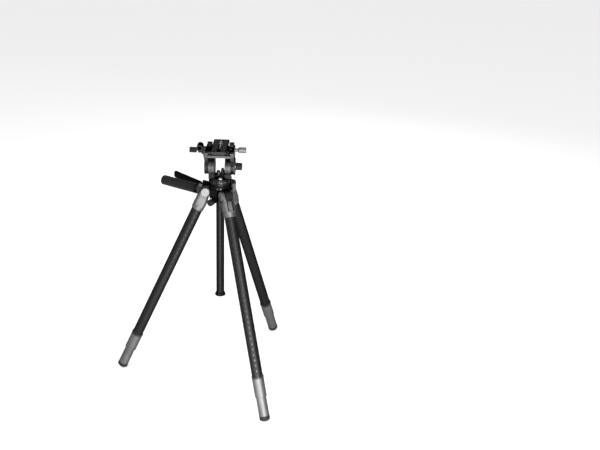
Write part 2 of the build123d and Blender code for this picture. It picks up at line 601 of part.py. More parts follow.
with BuildPart() as panbar_knob:
    knob_plane = facing_out(-1, panbar_knob_face, 0, ROSETTE_Z)
    rod(knob_plane.offset(panbar_knob_face + 52), 3, 4 - panbar_knob_face - 52)
    turned(knob_plane, [(0, 0), (8, 0), (9, 1.2), (9, 21), (8, 22.9), (0, 22.9)])
    knob_flutes(knob_plane.offset(3), 9, 20, 10, 1.1)
save(panbar_knob.part, "panbar_knob")

# ---------------------------------------------------------------- quick-release clamp and camera plate
plate_x, plate_y = PLATE_HALF
slab_bottom = PLATE_TOP - PLATE_SLAB
seat = 142.7              # top of the clamp's bed
rail_top = WALL_TOP - GAP
rail_in, rail_foot = 18.2, 22.0      # the dovetail's undercut edge and its foot
bed_half = 35.5
boss_in, boss_half_y, boss_bottom, jaw_out = 23.0, 6.0, 139.0, 31.0
with BuildPart() as plate_receiver:
    box(level(PLATFORM_Z[1]), (-bed_half, -38), (bed_half, 38), seat - PLATFORM_Z[1])
    plank(facing(0), [(-bed_half, seat), (-bed_half, rail_top), (-rail_in, rail_top), (-rail_foot, seat)], 38)
    box(level(boss_bottom - GAP), (boss_in - GAP, -boss_half_y - GAP), (bed_half, boss_half_y + GAP), 20,
        Mode.SUBTRACT)
save(plate_receiver.part, "plate_receiver")

with BuildPart() as clamp_jaw:
    plank(facing(0), [(rail_foot, seat + GAP), (rail_in, rail_top), (jaw_out, rail_top),
                      (jaw_out, seat + GAP)], 30)
    box(level(boss_bottom), (boss_in, -boss_half_y), (jaw_out, boss_half_y), rail_top - boss_bottom)
    rod(across(boss_in - 5, 0, JAW_AXIS_Z), 3 + RUN, 20, Mode.SUBTRACT)
save(clamp_jaw.part, "clamp_jaw")

knob_neck, clamp_knob_face = 47.0, 60.0
with BuildPart() as clamp_knob:
    rod(across(boss_in + 1, 0, JAW_AXIS_Z), 3, knob_neck - boss_in)
    turned(facing_out(1, knob_neck, 0, JAW_AXIS_Z),
           [(0, 0), (7.5, 0), (5.2, 5), (5.2, 10), (8.7, 13), (9.5, 14), (9.5, 35), (8.5, 36.5), (0, 36.5)])
    knob_flutes(facing_out(1, clamp_knob_face + 3, 0, JAW_AXIS_Z), 9.5, 22, 16, 0.8)
save(clamp_knob.part, "clamp_knob")

slot_half = 3.6
with BuildPart() as camera_plate:
    box(level(slab_bottom), (-plate_x, -plate_y), (plate_x, plate_y), PLATE_SLAB)
    chamfer(camera_plate.edges().filter_by(Axis.Z), 1.2)
    plank(facing(0), [(-rail_foot + GAP, seat + GAP), (-rail_in + GAP, rail_top),
                      (-rail_in + GAP, slab_bottom + 1), (rail_in - GAP, slab_bottom + 1),
                      (rail_in - GAP, rail_top), (rail_foot - GAP, seat + GAP)], plate_y - 4)
    with BuildSketch(level(seat)) as slot:
        RectangleRounded(2 * slot_half, 90, slot_half - 0.1)
    extrude(slot.sketch, amount=20, mode=Mode.SUBTRACT)
    with BuildSketch(level(seat)) as recess:
        RectangleRounded(18, 96, 8)
    extrude(recess.sketch, amount=PLATE_TOP - 3 - seat, mode=Mode.SUBTRACT)
save(camera_plate.part, "camera_plate")

pad_height = 0.9
with BuildPart() as plate_pads:
    for way in (1, -1):
        with BuildSketch(level(PLATE_TOP)) as pad:
            with Locations((way * 14, 0)):
                RectangleRounded(16, 2 * plate_y - 10, 2)
        extrude(pad.sketch, amount=pad_height)
save(plate_pads.part, "plate_pads")

pad_top = PLATE_TOP + pad_height
screw_head_top, screw_neck_r = 152.6, 3.0
screw_top = pad_top + 5.5
with BuildPart() as camera_screw:
    turned(level(0, 0, SCREW_Y), [(0, 146.5), (7.5, 146.5), (7.5, 151.5), (6.5, screw_head_top),
                                  (screw_neck_r, screw_head_top), (screw_neck_r, pad_top), (SCREW_R, pad_top),
                                  (SCREW_R, screw_top - 0.6), (SCREW_R - 0.6, screw_top), (0, screw_top)])
save(camera_screw.part, "camera_screw")
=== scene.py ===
import json
import math

import bpy
from mathutils import Matrix, Vector


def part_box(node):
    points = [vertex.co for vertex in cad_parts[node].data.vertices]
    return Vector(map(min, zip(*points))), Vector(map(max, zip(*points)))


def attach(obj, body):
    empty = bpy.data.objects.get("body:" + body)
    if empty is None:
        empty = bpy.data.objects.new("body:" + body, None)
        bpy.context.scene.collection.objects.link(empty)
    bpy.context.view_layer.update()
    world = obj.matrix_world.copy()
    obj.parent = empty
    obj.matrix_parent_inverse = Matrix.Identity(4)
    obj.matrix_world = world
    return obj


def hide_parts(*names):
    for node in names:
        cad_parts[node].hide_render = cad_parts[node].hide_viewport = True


# A carbon-fibre video tripod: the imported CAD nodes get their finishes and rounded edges, and small
# fittings, treads, pads and the foam grip are built here. Local shapes are in millimetres.

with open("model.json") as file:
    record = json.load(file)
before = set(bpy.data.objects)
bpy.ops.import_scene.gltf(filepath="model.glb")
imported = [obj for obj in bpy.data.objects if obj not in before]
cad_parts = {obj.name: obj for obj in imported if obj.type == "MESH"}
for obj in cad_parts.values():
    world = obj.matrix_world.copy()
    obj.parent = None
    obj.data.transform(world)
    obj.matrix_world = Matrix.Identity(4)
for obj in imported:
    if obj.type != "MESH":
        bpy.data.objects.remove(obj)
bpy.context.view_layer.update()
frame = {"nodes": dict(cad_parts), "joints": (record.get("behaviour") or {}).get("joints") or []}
NODES = frame["nodes"]
JOINTS = {joint["name"]: joint for joint in frame["joints"]}
SIDES = ("left", "front", "back")
MM = 0.001

column_low, column_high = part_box("column_tube")
AXIS_X = (column_low.x + column_high.x) / 2
HINGE_Z = JOINTS["left_leg_fold"]["pos_m"][2]


def at(x, y, z):
    """A point that far in millimetres from where the column's axis meets the plane of the leg hinges."""
    return Vector((AXIS_X + x * MM, y * MM, HINGE_Z + z * MM))


def leg_frame(side):
    """Hinge point, direction down the leg, direction square to it that faces out, and the bolt's."""
    hinge = Vector(JOINTS[f"{side}_leg_fold"]["pos_m"])
    down = Vector(JOINTS[f"{side}_mid_slide"]["axis"])
    face = Vector(JOINTS[f"{side}_stop_tab_pull"]["axis"])
    bolt = Vector(JOINTS[f"{side}_leg_fold"]["axis"])
    return hinge, down, face, bolt


# ---------------------------------------------------------------- material building
def new_material(name):
    material = bpy.data.materials.new(name)
    material.use_nodes = True
    tree = material.node_tree
    return material, tree, tree.nodes["Principled BSDF"]


def put(tree, socket, value):
    """Sets a socket to a value, or links another node's socket to it."""
    if isinstance(value, bpy.types.NodeSocket):
        tree.links.new(value, socket)
    else:
        socket.default_value = value


def node(tree, kind, settings=None, **sockets):
    made = tree.nodes.new(kind)
    for key, value in (settings or {}).items():
        setattr(made, key, value)
    for key, value in sockets.items():
        put(tree, made.inputs[key.replace("_", " ")], value)
    return made


def calc(tree, operation, first, second=None, third=None):
    made = tree.nodes.new("ShaderNodeMath")
    made.operation = operation
    for index, value in enumerate((first, second, third)):
        if value is not None:
            put(tree, made.inputs[index], value)
    return made.outputs[0]


def vector_calc(tree, operation, first, second):
    made = tree.nodes.new("ShaderNodeVectorMath")
    made.operation = operation
    put(tree, made.inputs[0], first)
    put(tree, made.inputs[1], second)
    return made.outputs["Value" if operation == "DOT_PRODUCT" else "Vector"]


def place_on(tree):
    """Where the surface is on the object at rest, in metres."""
    return node(tree, "ShaderNodeTexCoord").outputs["Object"]


def noise(tree, where, scale, detail=3.0, roughness=0.55):
    return node(tree, "ShaderNodeTexNoise", Vector=where, Scale=scale, Detail=detail,
                Roughness=roughness).outputs["Fac"]


def span(tree, value, low, high, out_low, out_high):
    made = node(tree, "ShaderNodeMapRange", {"clamp": True})
    inputs = {"Value": value, "From Min": low, "From Max": high, "To Min": out_low, "To Max": out_high}
    for key, number in inputs.items():
        put(tree, made.inputs[key], number)
    return made.outputs["Result"]


def axis_distance(tree, offset):
    """How far an offset is from the upright axis, and its separate parts."""
    parts = node(tree, "ShaderNodeSeparateXYZ", Vector=offset)
    squares = [calc(tree, "POWER", parts.outputs[key], 2.0) for key in ("X", "Y")]
    return calc(tree, "SQRT", calc(tree, "ADD", squares[0], squares[1])), parts


def blend_colour(tree, factor, first, second):
    made = node(tree, "ShaderNodeMix", {"data_type": "RGBA"})
    put(tree, made.inputs[0], factor)
    put(tree, made.inputs[6], first)
    put(tree, made.inputs[7], second)
    return made.outputs[2]


def grey(value, warm=0.0):
    return (value * (1 + warm), value, value * (1 - warm), 1.0)


def worn_edges(tree, radius, strength):
    """1 along outside edges, 0 on flats, broken up by noise."""
    rounded = node(tree, "ShaderNodeBevel", {"samples": 4}, Radius=radius * MM).outputs["Normal"]
    flat = node(tree, "ShaderNodeNewGeometry").outputs["Normal"]
    turn = vector_calc(tree, "DOT_PRODUCT", rounded, flat)
    edge = span(tree, turn, 0.97, 0.78, 0.0, 1.0)
    patches = span(tree, noise(tree, place_on(tree), 140), 0.38, 0.62, 0.25, 1.0)
    return calc(tree, "MULTIPLY", calc(tree, "MULTIPLY", edge, patches), strength)


def bump(tree, shader, height, distance, strength=1.0, after=None):
    made = node(tree, "ShaderNodeBump", Height=height, Distance=distance, Strength=strength)
    if after is not None:
        put(tree, made.inputs["Normal"], after)
    put(tree, shader.inputs["Normal"], made.outputs["Normal"])
    return made.outputs["Normal"]


def mottle(tree, factor, tone, spread, warm=0.0, low=0.35, high=0.65):
    """A grey that varies by that share of itself either way."""
    darker, lighter = grey(tone * (1 - spread), warm), grey(tone * (1 + spread), warm)
    return blend_colour(tree, span(tree, factor, low, high, 0, 1), darker, lighter)


def metal(name, tone, roughness, metallic=1.0, grain=900, grain_depth=0.02, edge=0.0, edge_tone=0.3,
          warm=0.0, lit_face_tone=None, lit_face_low=0.0, glancing=1.0):
    """Blasted and anodised or plated metal: fine pits, cloudy tone, and edges rubbed brighter.
    The two face arguments set a painted highlight: a lighter tone on the faces square to y and above a
    height, standing in for the light they catch. glancing is how much of a mirror it is at a shallow angle."""
    material, tree, shader = new_material(name)
    where = place_on(tree)
    cloud = noise(tree, where, 34, 4)
    pits = noise(tree, where, grain, 2)
    colour = blend_colour(tree, span(tree, cloud, 0.35, 0.65, 0, 1), grey(tone * 0.86, warm),
                          grey(tone * 1.16, warm))
    # painted highlight: faces square to y and above the given height get a lighter tone that stands in for
    # the light they catch
    if lit_face_tone is not None:
        facing = node(tree, "ShaderNodeTexCoord").outputs["Normal"]
        ends = calc(tree, "ABSOLUTE", vector_calc(tree, "DOT_PRODUCT", facing, (0, 1, 0)))
        height = node(tree, "ShaderNodeSeparateXYZ", Vector=where).outputs["Z"]
        above = calc(tree, "GREATER_THAN", height, HINGE_Z + lit_face_low * MM)
        painted_face_highlight = calc(tree, "MULTIPLY", span(tree, ends, 0.9, 0.98, 0, 1), above)
        colour = blend_colour(tree, painted_face_highlight, colour, grey(lit_face_tone, warm))
    if edge:
        colour = blend_colour(tree, worn_edges(tree, 0.7, edge), colour, grey(edge_tone, warm))
    put(tree, shader.inputs["Base Color"], colour)
    shader.inputs["Metallic"].default_value = metallic
    shader.inputs["Specular Tint"].default_value = grey(glancing)
    shade = calc(tree, "ADD", span(tree, cloud, 0.3, 0.7, -0.05, 0.05),
                 span(tree, pits, 0.3, 0.7, -0.03, 0.03))
    put(tree, shader.inputs["Roughness"], calc(tree, "ADD", shade, roughness))
    bump(tree, shader, pits, grain_depth * MM)
    return material


def turned_metal(name, tone, roughness, centre, axis, rings, depth, edge=0.0, glancing=1.0):
    """Metal with the fine rings a lathe leaves round an axis; rings is how many a millimetre holds."""
    material, tree, shader = new_material(name)
    where = place_on(tree)
    offset = vector_calc(tree, "SUBTRACT", where, tuple(centre))
    along = vector_calc(tree, "DOT_PRODUCT", offset, tuple(axis))
    length = node(tree, "ShaderNodeVectorMath", {"operation": "LENGTH"})
    put(tree, length.inputs[0], offset)
    square = calc(tree, "SUBTRACT", calc(tree, "POWER", length.outputs["Value"], 2.0),
                  calc(tree, "POWER", along, 2.0))
    radius = calc(tree, "SQRT", calc(tree, "MAXIMUM", square, 0.0))
    ringed = node(tree, "ShaderNodeCombineXYZ", X=calc(tree, "MULTIPLY", along, rings * 1000),
                  Y=calc(tree, "MULTIPLY", radius, rings * 1000), Z=0.0).outputs["Vector"]
    lines = noise(tree, ringed, 1.0, 2)
    cloud = noise(tree, where, 30, 3)
    mixed = calc(tree, "ADD", calc(tree, "MULTIPLY", lines, 0.6), calc(tree, "MULTIPLY", cloud, 0.4))
    colour = mottle(tree, mixed, tone, 0.18)
    if edge:
        colour = blend_colour(tree, worn_edges(tree, 0.6, edge), colour, grey(min(1.0, tone * 2.2)))
    put(tree, shader.inputs["Base Color"], colour)
    shader.inputs["Metallic"].default_value = 1.0
    shader.inputs["Specular Tint"].default_value = grey(glancing)
    put(tree, shader.inputs["Roughness"], span(tree, mixed, 0.3, 0.7, roughness - 0.06, roughness + 0.06))
    bump(tree, shader, lines, depth * MM)
    return material


def moulded(name, tone, roughness, grain, depth, specular=0.5, mottled=0.2):
    """Moulded plastic, rubber or foam: a fine leathery grain and slight mottling."""
    material, tree, shader = new_material(name)
    where = place_on(tree)
    cloud = noise(tree, where, 60, 4)
    pits = noise(tree, where, grain, 3, 0.6)
    colour = mottle(tree, cloud, tone, mottled, low=0.3, high=0.7)
    put(tree, shader.inputs["Base Color"], colour)
    put(tree, shader.inputs["Roughness"], span(tree, pits, 0.3, 0.7, roughness - 0.07, roughness + 0.07))
    shader.inputs["Specular IOR Level"].default_value = specular
    bump(tree, shader, pits, depth * MM)
    return material


BRAID_PITCH = 18.0        # length of one diamond of the braid along the tube
BRAID_STRANDS = 7         # diamonds round the tube
FIBRES = 26.0             # fine lines across one strand
FIBRE_BREAKS = 1.5        # changes along a line in one strand's width


def carbon(name, side):
    """Braided carbon fibre: two sets of flat strands that cross over and under each other, glossiest
    where both are at their crowns."""
    hinge, down, face, bolt = leg_frame(side)
    material, tree, shader = new_material(name)
    offset = vector_calc(tree, "SUBTRACT", place_on(tree), tuple(hinge))
    along = calc(tree, "DIVIDE", vector_calc(tree, "DOT_PRODUCT", offset, tuple(down)), BRAID_PITCH * MM)
    angle = calc(tree, "ARCTAN2", vector_calc(tree, "DOT_PRODUCT", offset, tuple(bolt)),
                 vector_calc(tree, "DOT_PRODUCT", offset, tuple(face)))
    around = calc(tree, "MULTIPLY", angle, BRAID_STRANDS / math.tau)
    ways = [calc(tree, "ADD", along, around), calc(tree, "SUBTRACT", along, around)]
    parts = [calc(tree, "FRACT", way) for way in ways]
    cells = [calc(tree, "FLOOR", way) for way in ways]
    over = calc(tree, "PINGPONG", calc(tree, "ADD", cells[0], cells[1]), 1.0)
    arches = [calc(tree, "SINE", calc(tree, "MULTIPLY", part, math.pi)) for part in parts]
    crowns = [calc(tree, "POWER", arch, 0.5) for arch in arches]

    def chosen(first, second):
        """first where one set of strands is on top, second where the other is."""
        kept = calc(tree, "MULTIPLY", first, calc(tree, "SUBTRACT", 1.0, over))
        return calc(tree, "ADD", kept, calc(tree, "MULTIPLY", second, over))

    profile = chosen(crowns[0], crowns[1])
    dive = chosen(crowns[1], crowns[0])
    height = calc(tree, "ADD", calc(tree, "MULTIPLY", profile, 0.65), calc(tree, "MULTIPLY", dive, 0.35))
    across = calc(tree, "MULTIPLY", chosen(ways[0], ways[1]), FIBRES)
    lengthwise = calc(tree, "MULTIPLY", chosen(ways[1], ways[0]), FIBRE_BREAKS)
    fibre_place = node(tree, "ShaderNodeCombineXYZ", X=across, Y=lengthwise, Z=over).outputs["Vector"]
    fibres = noise(tree, fibre_place, 1.0, 2)
    tone = calc(tree, "MULTIPLY", span(tree, fibres, 0.3, 0.7, 0.6, 1.3),
                span(tree, height, 0.2, 0.9, 0.3, 1.0))
    crown = calc(tree, "MULTIPLY", arches[0], arches[1])
    put(tree, shader.inputs["Base Color"], blend_colour(tree, tone, grey(0.0045), grey(0.024)))
    gloss = calc(tree, "ADD", span(tree, crown, 0.5, 0.95, 0.55, 0.22),
                 span(tree, fibres, 0.3, 0.7, -0.06, 0.06))
    put(tree, shader.inputs["Roughness"], gloss)
    shader.inputs["Metallic"].default_value = 1.0
    shader.inputs["Specular Tint"].default_value = grey(0.3)
    rough = bump(tree, shader, height, 0.5 * MM, 0.8)
    bump(tree, shader, fibres, 0.05 * MM, 0.7, rough)
    return material


SCALE_RADIUS = 37.0       # just inside the housing's wall


def scale_ring(name, base, low, high):
    """Engraves a plain scale on a turned housing: a light tick each 10 degrees, a longer one each 30."""
    tree = base.node_tree
    shader = tree.nodes["Principled BSDF"]
    radius, parts = axis_distance(tree, vector_calc(tree, "SUBTRACT", place_on(tree), tuple(at(0, 0, 0))))
    angle = calc(tree, "ARCTAN2", parts.outputs["Y"], parts.outputs["X"])

    def tick(step, half, top):
        near = calc(tree, "PINGPONG", calc(tree, "MULTIPLY", angle, 180 / math.pi), step / 2)
        line = calc(tree, "LESS_THAN", near, half)
        above = calc(tree, "GREATER_THAN", parts.outputs["Z"], low * MM)
        below = calc(tree, "LESS_THAN", parts.outputs["Z"], top * MM)
        return calc(tree, "MULTIPLY", line, calc(tree, "MULTIPLY", above, below))

    on_wall = calc(tree, "GREATER_THAN", radius, SCALE_RADIUS * MM)
    marks = calc(tree, "MAXIMUM", tick(10, 0.28, (low + high) / 2), tick(30, 0.35, high))
    marks = calc(tree, "MULTIPLY", calc(tree, "MULTIPLY", marks, on_wall), 0.8)
    before = shader.inputs["Base Color"].links[0].from_socket
    put(tree, shader.inputs["Base Color"], blend_colour(tree, marks, before, grey(0.42)))
    base.name = name
    return base


# ---------------------------------------------------------------- mesh building
def basis(origin, axis, start=None):
    """A frame whose z is the axis and whose x is as near start as it can be."""
    z = Vector(axis).normalized()
    if start is None:
        start = (0, 0, 1) if abs(z.z) < 0.9 else (1, 0, 0)
    guide = Vector(start)
    x = (guide - z * guide.dot(z)).normalized()
    made = Matrix((x, z.cross(x), z)).transposed().to_4x4()
    made.translation = origin
    return made


def build(name, place, points, faces, material, body, edge=0.0, sharp=32):
    """Makes a piece from points in millimetres in a frame, and sets it on its body."""
    mesh = bpy.data.meshes.new(name)
    mesh.from_pydata([place @ (Vector(point) * MM) for point in points], [], faces)
    mesh.validate()
    mesh.update()
    mesh.shade_smooth()
    mesh.set_sharp_from_angle(angle=math.radians(sharp))
    made = bpy.data.objects.new(name, mesh)
    bpy.context.scene.collection.objects.link(made)
    mesh.materials.append(material)
    if edge:
        soften(made, edge)
    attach(made, body)
    return made


def soften(target, width, weld=False):
    """Rounds a hard edge by that many millimetres."""
    if weld:
        merge = target.modifiers.new("weld", "WELD")
        merge.merge_threshold = 0.004 * MM
    bevel = target.modifiers.new("edge_round", "BEVEL")
    bevel.width = width * MM
    bevel.segments = 2
    bevel.limit_method = "ANGLE"
    bevel.angle_limit = math.radians(38)
    bevel.use_clamp_overlap = True
    bevel.miter_outer = "MITER_ARC"
    normal = target.modifiers.new("even_normals", "WEIGHTED_NORMAL")
    normal.weight = 80
    normal.keep_sharp = False


def turned(name, place, outline, material, body, segments=72, ripple=None, closed=False, edge=0.0):
    """A turned piece from (radius, height) points; a closed outline makes a ring that misses the axis."""
    points, rings, faces = [], [], []
    for radius, height in outline:
        if radius == 0:
            rings.append([len(points)])
            points.append((0, 0, height))
            continue
        rings.append(list(range(len(points), len(points) + segments)))
        for k in range(segments):
            angle = math.tau * k / segments
            reach = radius + (ripple(angle, radius, height) if ripple else 0.0)
            points.append((reach * math.cos(angle), reach * math.sin(angle), height))
    pairs = list(zip(rings, rings[1:] + ([rings[0]] if closed else [])))
    for lower, upper in pairs[:None if closed else len(rings) - 1]:
        for k in range(segments):
            following = (k + 1) % segments
            if len(lower) == 1 and len(upper) == 1:
                continue
            if len(lower) == 1:
                faces.append((lower[0], upper[following], upper[k]))
            elif len(upper) == 1:
                faces.append((lower[k], lower[following], upper[0]))
            else:
                faces.append((lower[k], lower[following], upper[following], upper[k]))
    return build(name, place, points, faces, material, body, edge)


def arc(centre, radius, start, end, steps):
    """Points of an arc in the (radius, height) plane, angles in degrees."""
    made = []
    for k in range(steps + 1):
        angle = math.radians(start + (end - start) * k / steps)
        made.append((centre[0] + radius * math.cos(angle), centre[1] + radius * math.sin(angle)))
    return made


def cap_screw(name, place, radius, height, material, body):
    """A socket cap screw's head: a chamfered disc with a hexagon sunk in it."""
    segments = 24
    socket, sink = radius * 0.52, height * 0.8
    outline = [(radius, 0), (radius, height * 0.72), (radius * 0.9, height), (radius * 0.62, height)]
    points, faces = [], []
    for reach, level in outline:
        for k in range(segments):
            angle = math.tau * k / segments
            points.append((reach * math.cos(angle), reach * math.sin(angle), level))
    for level in (height, height - sink):
        for k in range(segments):
            angle = math.tau * k / segments
            flat = socket * math.cos(math.pi / 6) / math.cos((angle % (math.pi / 3)) - math.pi / 6)
            points.append((flat * math.cos(angle), flat * math.sin(angle), level))
    rings = len(outline) + 2
    for ring in range(rings - 1):
        for k in range(segments):
            following = (k + 1) % segments
            low, high = ring * segments, (ring + 1) * segments
            faces.append((low + k, low + following, high + following, high + k))
    faces.append(tuple(range((rings - 1) * segments, rings * segments)))
    faces.append(tuple(reversed(range(segments))))
    return build(name, place, points, faces, material, body)


# a rib's section: how far along its pitch from its middle, and how far below its top in millimetres
RIB = ((-0.42, 0.5), (-0.3, 0.12), (-0.12, 0.0), (0.12, 0.0), (0.3, 0.12), (0.42, 0.5))


def ridged_pad(name, centre, width, length, low, high, pitch, material, body):
    """A rubber pad with rounded ribs across it."""
    count = int(length / pitch)
    start = -length / 2
    outline = [(start, low)]
    for k in range(count):
        left = start + (k + 0.5) * length / count
        for step, drop in RIB:
            outline.append((left + step * length / count, high - drop))
    outline.append((-start, low))
    points = [(x, y, z) for x in (-width / 2, width / 2) for y, z in outline]
    total = len(outline)
    faces = [(k, (k + 1) % total, total + (k + 1) % total, total + k) for k in range(total)]
    faces += [tuple(reversed(range(total))), tuple(range(total, 2 * total))]
    return build(name, basis(centre, (0, 0, 1), (1, 0, 0)), points, faces, material, body)


# ---------------------------------------------------------------- camera
CAMERA_AT = Vector((0.36299, -2.95259, 1.88016))
CAMERA_YAW, CAMERA_PITCH, CAMERA_ROLL = 0.24364, 23.8946, 2.02236
camera_data = bpy.data.cameras.new("camera")
camera_data.lens = 58.5245
camera_data.sensor_width = 36.0
camera = bpy.data.objects.new("camera", camera_data)
bpy.context.scene.collection.objects.link(camera)
turn = (Matrix.Rotation(math.radians(CAMERA_YAW), 4, "Z")
        @ Matrix.Rotation(math.radians(90 - CAMERA_PITCH), 4, "X")
        @ Matrix.Rotation(math.radians(CAMERA_ROLL), 4, "Z"))
camera.matrix_world = Matrix.Translation(CAMERA_AT) @ turn
bpy.context.scene.camera = camera

# ---------------------------------------------------------------- floor, world and lights
FLOOR_HALF = 30.0
floor_mesh = bpy.data.meshes.new("floor")
floor_corners = [(x * FLOOR_HALF, y * FLOOR_HALF, 0) for x, y in ((-1, -1), (1, -1), (1, 1), (-1, 1))]
floor_mesh.from_pydata(floor_corners, [], [(0, 1, 2, 3)])
floor = bpy.data.objects.new("floor", floor_mesh)
bpy.context.scene.collection.objects.link(floor)
floor_material, floor_tree, floor_shader = new_material("pale_floor")
floor_shader.inputs["Base Color"].default_value = grey(0.93)
floor_shader.inputs["Roughness"].default_value = 0.9
floor_shader.inputs["Specular IOR Level"].default_value = 0.1
floor_mesh.materials.append(floor_material)

scene = bpy.context.scene
scene.view_settings.view_transform = "Standard"
scene.view_settings.look = "None"
world = bpy.data.worlds.new("studio")
world.use_nodes = True
world.node_tree.nodes["Background"].inputs["Color"].default_value = (1.0, 1.0, 1.0, 1.0)
world.node_tree.nodes["Background"].inputs["Strength"].default_value = 0.4
scene.world = world


def softbox(name, azimuth, distance, centre_z, width, height, watts, aim_z=0.45):
    """An upright soft light at that azimuth round the column, in degrees, that faces it."""
    light = bpy.data.lights.new(name, "AREA")
    light.shape = "RECTANGLE"
    light.size, light.size_y = width, height
    light.energy = watts
    made = bpy.data.objects.new(name, light)
    scene.collection.objects.link(made)
    turned_by = math.radians(azimuth)
    spot = Vector((AXIS_X + distance * math.cos(turned_by), distance * math.sin(turned_by), centre_z))
    facing = basis(spot, spot - Vector((AXIS_X, 0, aim_z)), (0, 0, 1))
    made.matrix_world = facing @ Matrix.Rotation(math.radians(-90), 4, "Z")
    made.visible_camera = False
    return made


softbox("low_key", -93.0, 0.62, 0.2, 0.07, 0.36, 1.8, 0.35)
softbox("front_key", -74.0, 3.2, 0.5, 1.5, 0.8, 215, 0.3)
softbox("high_key", -66.0, 2.2, 1.5, 0.8, 0.6, 12)
softbox("left_strip", 172.0, 2.2, 0.7, 0.4, 1.4, 3)
softbox("right_strip", -38.0, 2.2, 0.7, 0.3, 1.4, 3)
softbox("high_left", -140.0, 2.6, 1.9, 0.9, 0.9, 24)
softbox("high_back", 70.0, 2.4, 1.8, 1.2, 0.8, 16)
sun = bpy.data.lights.new("ceiling", "SUN")
sun.energy = 1.7
sun.angle = math.radians(70)
ceiling = bpy.data.objects.new("ceiling", sun)
scene.collection.objects.link(ceiling)
ceiling.matrix_world = basis(Vector((0, 0, 4)), (-0.25, -0.3, 1.0))

# ---------------------------------------------------------------- finishes of the CAD nodes
TILT_Z = 87.0
tilt_centre, across_way = at(0, 0, TILT_Z), (1, 0, 0)
black = metal("black_anodised", 0.013, 0.36, edge=0.5, edge_tone=0.07, glancing=0.3)
# the cradle's faces square to y, above 118 mm, carry a painted highlight
cradle_black = metal("cradle_black", 0.014, 0.36, edge=0.5, edge_tone=0.05, lit_face_tone=0.045, lit_face_low=118,
                     glancing=0.3)
black_matt = metal("black_painted", 0.009, 0.45, grain=1300, grain_depth=0.03, edge=0.4, edge_tone=0.04,
                   glancing=0.3)
plate_black = metal("plate_black", 0.016, 0.42, edge=0.7, edge_tone=0.1, glancing=0.3)
column_black = turned_metal("column_black", 0.014, 0.25, at(0, 0, 0), (0, 0, 1), 5, 0.006, glancing=0.3)
drum_black = turned_metal("drum_black", 0.045, 0.42, tilt_centre, across_way, 7, 0.012, edge=0.4,
                          glancing=0.4)
base_turned = turned_metal("base_turned", 0.012, 0.3, at(0, 0, 0), (0, 0, 1), 6, 0.01, edge=0.4, glancing=0.3)
base_black = scale_ring("base_black", base_turned, 37.5, 46.0)
knob_black = moulded("knob_plastic", 0.004, 0.36, 1100, 0.035, 0.12)
bright = metal("bright_plated", 0.45, 0.32, grain=1500, grain_depth=0.008)
screw_dark = metal("screw_dark", 0.07, 0.4, grain=1500, grain_depth=0.008)
bolt_bright = metal("bolt_bright", 0.15, 0.5, grain=1500, grain_depth=0.008)
pale_alloy = turned_metal("pale_alloy", 0.11, 0.5, at(0, 0, 143), across_way, 6, 0.012)
foam = moulded("grip_foam", 0.0045, 0.5, 950, 0.16, 0.12, 0.3)
rubber = moulded("foot_rubber", 0.007, 0.6, 1500, 0.05, 0.2)
olive = metal("olive_cap", 0.02, 0.34, 0.8, grain=1500, grain_depth=0.008, warm=0.18)
seal_black = moulded("seal_rubber", 0.006, 0.4, 1900, 0.02, 0.25)
pad_black = moulded("pad_rubber", 0.007, 0.68, 1800, 0.05, 0.15)
bush = moulded("bush_plastic", 0.04, 0.5, 1500, 0.02)

# the hook's ring is black, and its wire is plated
hook_finish, hook_tree, hook_shader = new_material("hook_finish")
HOOK_RING_R = 16.7        # outside the ring there is only wire
hook_offset = vector_calc(hook_tree, "SUBTRACT", place_on(hook_tree), tuple(at(0, 0, 0)))
hook_wire = calc(hook_tree, "GREATER_THAN", axis_distance(hook_tree, hook_offset)[0], HOOK_RING_R * MM)
hook_grain = noise(hook_tree, place_on(hook_tree), 1500, 2)
put(hook_tree, hook_shader.inputs["Base Color"], blend_colour(hook_tree, hook_wire, grey(0.015), grey(0.4)))
hook_shader.inputs["Metallic"].default_value = 1.0
put(hook_tree, hook_shader.inputs["Roughness"], span(hook_tree, hook_grain, 0.3, 0.7, 0.27, 0.35))
hook_shader.inputs["Specular Tint"].default_value = grey(0.3)
bump(hook_tree, hook_shader, hook_grain, 0.008 * MM)

spirit, spirit_tree, spirit_shader = new_material("spirit_level")
spirit_cloud = noise(spirit_tree, place_on(spirit_tree), 220, 2)
put(spirit_tree, spirit_shader.inputs["Base Color"],
    blend_colour(spirit_tree, spirit_cloud, (0.50, 0.60, 0.30, 1), (0.66, 0.74, 0.44, 1)))
spirit_shader.inputs["Roughness"].default_value = 0.12
spirit_shader.inputs["Coat Weight"].default_value = 0.8
spirit_shader.inputs["Coat Roughness"].default_value = 0.04

leg_alloy, weave = {}, {}
for side in SIDES:
    hinge, down, face, bolt = leg_frame(side)
    leg_alloy[side] = turned_metal(f"{side}_leg_alloy", 0.11, 0.56, hinge, down, 6, 0.008, edge=0.3,
                                   glancing=0.2)
    weave[side] = carbon(f"{side}_carbon_braid", side)

FINISH = {
    "spider": black_matt, "column_bush": bush, "hinge_bolts": bolt_bright, "column_knob": knob_black,
    "handle_bracket": black_matt, "handle_arm": black_matt, "handle_pins": bright, "handle_lever": black_matt,
    "release_plunger": bright, "column_tube": column_black, "column_platform": black, "column_cap": black,
    "column_hook": hook_finish, "head_screw": bright, "head_base": base_black, "pan_housing": base_black,
    "bubble_level": spirit, "drag_knob": knob_black, "tilt_drums": drum_black, "tilt_axles": bright,
    "cradle": cradle_black, "side_cover_left": drum_black, "side_cover_right": drum_black,
    "tilt_knob": knob_black,
    "panbar_clamp": black, "panbar_knob": knob_black, "plate_receiver": black, "clamp_jaw": plate_black,
    "clamp_knob": pale_alloy, "camera_plate": plate_black, "plate_pads": pad_black, "camera_screw": bright,
    "handle_grip": foam,
}
EDGE = {"cradle": 0.6, "camera_plate": 0.5, "spider": 0.5, "handle_bracket": 0.5, "handle_lever": 0.5,
        "handle_arm": 0.4, "clamp_jaw": 0.3, "plate_receiver": 0.3, "side_cover_left": 0.4,
        "panbar_clamp": 0.4}
